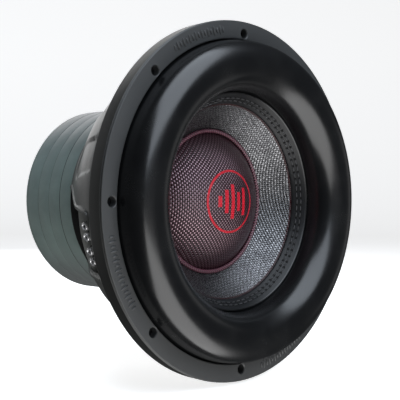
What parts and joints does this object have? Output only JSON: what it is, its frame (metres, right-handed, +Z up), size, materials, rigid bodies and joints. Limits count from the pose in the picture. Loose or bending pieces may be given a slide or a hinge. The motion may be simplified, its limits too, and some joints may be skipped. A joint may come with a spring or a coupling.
{
  "type": "car subwoofer speaker",
  "caption": "Round car subwoofer driver with a tall rubber roll, woven cone and domed cap, a cast basket, stacked magnets and push terminals.",
  "frame": {"origin": "centre of the bolt circle on the rear face of the mounting flange", "axes": "-Y out of the front of the speaker along its axis, +Y towards the magnet, +Z up, +X to the right seen from the front"},
  "size_m": [0.32, 0.2268, 0.32],
  "materials": {
    "cast_metal": "satin powder coat on cast aluminium",
    "trim_rubber": "satin moulded rubber",
    "roll_rubber": "smooth semi-gloss rubber",
    "thread": "waxed sewing thread",
    "glass_weave": "glossy glass-fibre weave over pressed paper",
    "red_weave": "glossy dark red and black weave",
    "glue": "cured black adhesive",
    "former_sheet": "black glass-fibre sheet",
    "copper": "lacquered copper wire",
    "spider_cloth": "resin-treated woven cloth",
    "black_plastic": "moulded plastic",
    "steel": "turned steel",
    "motor_coat": "satin grey-green coat on ferrite",
    "steel_coat": "satin grey-green coat on steel",
    "aluminium": "machined",
    "screen_wire": "woven wire",
    "black_steel": "black oxide",
    "panel_metal": "satin black coat",
    "screw_steel": "zinc plated",
    "brass": "plated brass",
    "chrome": "polished",
    "spring_wire": "drawn wire",
    "tinsel": "braided tinsel",
    "solder": "solder"
  },
  "bodies": {
    "frame": {"basket": "cast_metal", "trim_ring": "trim_rubber", "surround": "roll_rubber", "spider_front": "spider_cloth", "spider_rear": "spider_cloth", "spider_spacer": "black_plastic", "top_plate": "steel", "magnet_front": "motor_coat", "magnet_middle": "motor_coat", "magnet_rear": "motor_coat", "back_plate_and_pole": "steel_coat", "shorting_ring": "aluminium", "vent_screen": "screen_wire", "motor_screws": "black_steel", "terminal_panel": "panel_metal", "panel_screws": "screw_steel", "terminal_block_a": "black_plastic", "terminal_block_b": "black_plastic", "terminal_post_1": "brass", "terminal_post_2": "brass", "terminal_post_3": "brass", "terminal_post_4": "brass", "terminal_spring_1": "spring_wire", "terminal_spring_2": "spring_wire", "terminal_spring_3": "spring_wire", "terminal_spring_4": "spring_wire", "tinsel_lead_1": "tinsel", "tinsel_lead_2": "tinsel", "tinsel_lead_3": "tinsel", "tinsel_lead_4": "tinsel"},
    "moving_assembly": {"stitch_row_inner": "thread", "stitch_row_outer": "thread", "cone": "glass_weave", "dust_cap": "red_weave", "cap_glue_bead": "glue", "neck_glue_ring": "glue", "voice_coil_former": "former_sheet", "voice_coil_inner_layer": "copper", "voice_coil_outer_layer": "copper", "lead_pads": "solder"},
    "button_1": {"terminal_button_1": "chrome"},
    "button_2": {"terminal_button_2": "chrome"},
    "button_3": {"terminal_button_3": "chrome"},
    "button_4": {"terminal_button_4": "chrome"}
  },
  "joints": [
    {"name": "cone_travel", "type": "slide", "parent": "frame", "child": "moving_assembly", "axis": [0, -1, 0], "range_m": [-0.02, 0.02], "stiffness_N_per_m": 6000, "deforming": ["surround", "spider_front", "spider_rear", "tinsel_lead_1", "tinsel_lead_2", "tinsel_lead_3", "tinsel_lead_4"]},
    {"name": "button_1_press", "type": "slide", "parent": "frame", "child": "button_1", "axis": [0.9869, 0, 0.1616], "range_m": [0, 0.0025], "stiffness_N_per_m": 400, "deforming": ["terminal_spring_1"]},
    {"name": "button_2_press", "type": "slide", "parent": "frame", "child": "button_2", "axis": [0.9728, 0, 0.2317], "range_m": [0, 0.0025], "stiffness_N_per_m": 400, "deforming": ["terminal_spring_2"]},
    {"name": "button_3_press", "type": "slide", "parent": "frame", "child": "button_3", "axis": [0.9461, 0, 0.3239], "range_m": [0, 0.0025], "stiffness_N_per_m": 400, "deforming": ["terminal_spring_3"]},
    {"name": "button_4_press", "type": "slide", "parent": "frame", "child": "button_4", "axis": [0.9212, 0, 0.3891], "range_m": [0, 0.0025], "stiffness_N_per_m": 400, "deforming": ["terminal_spring_4"]}
  ]
}
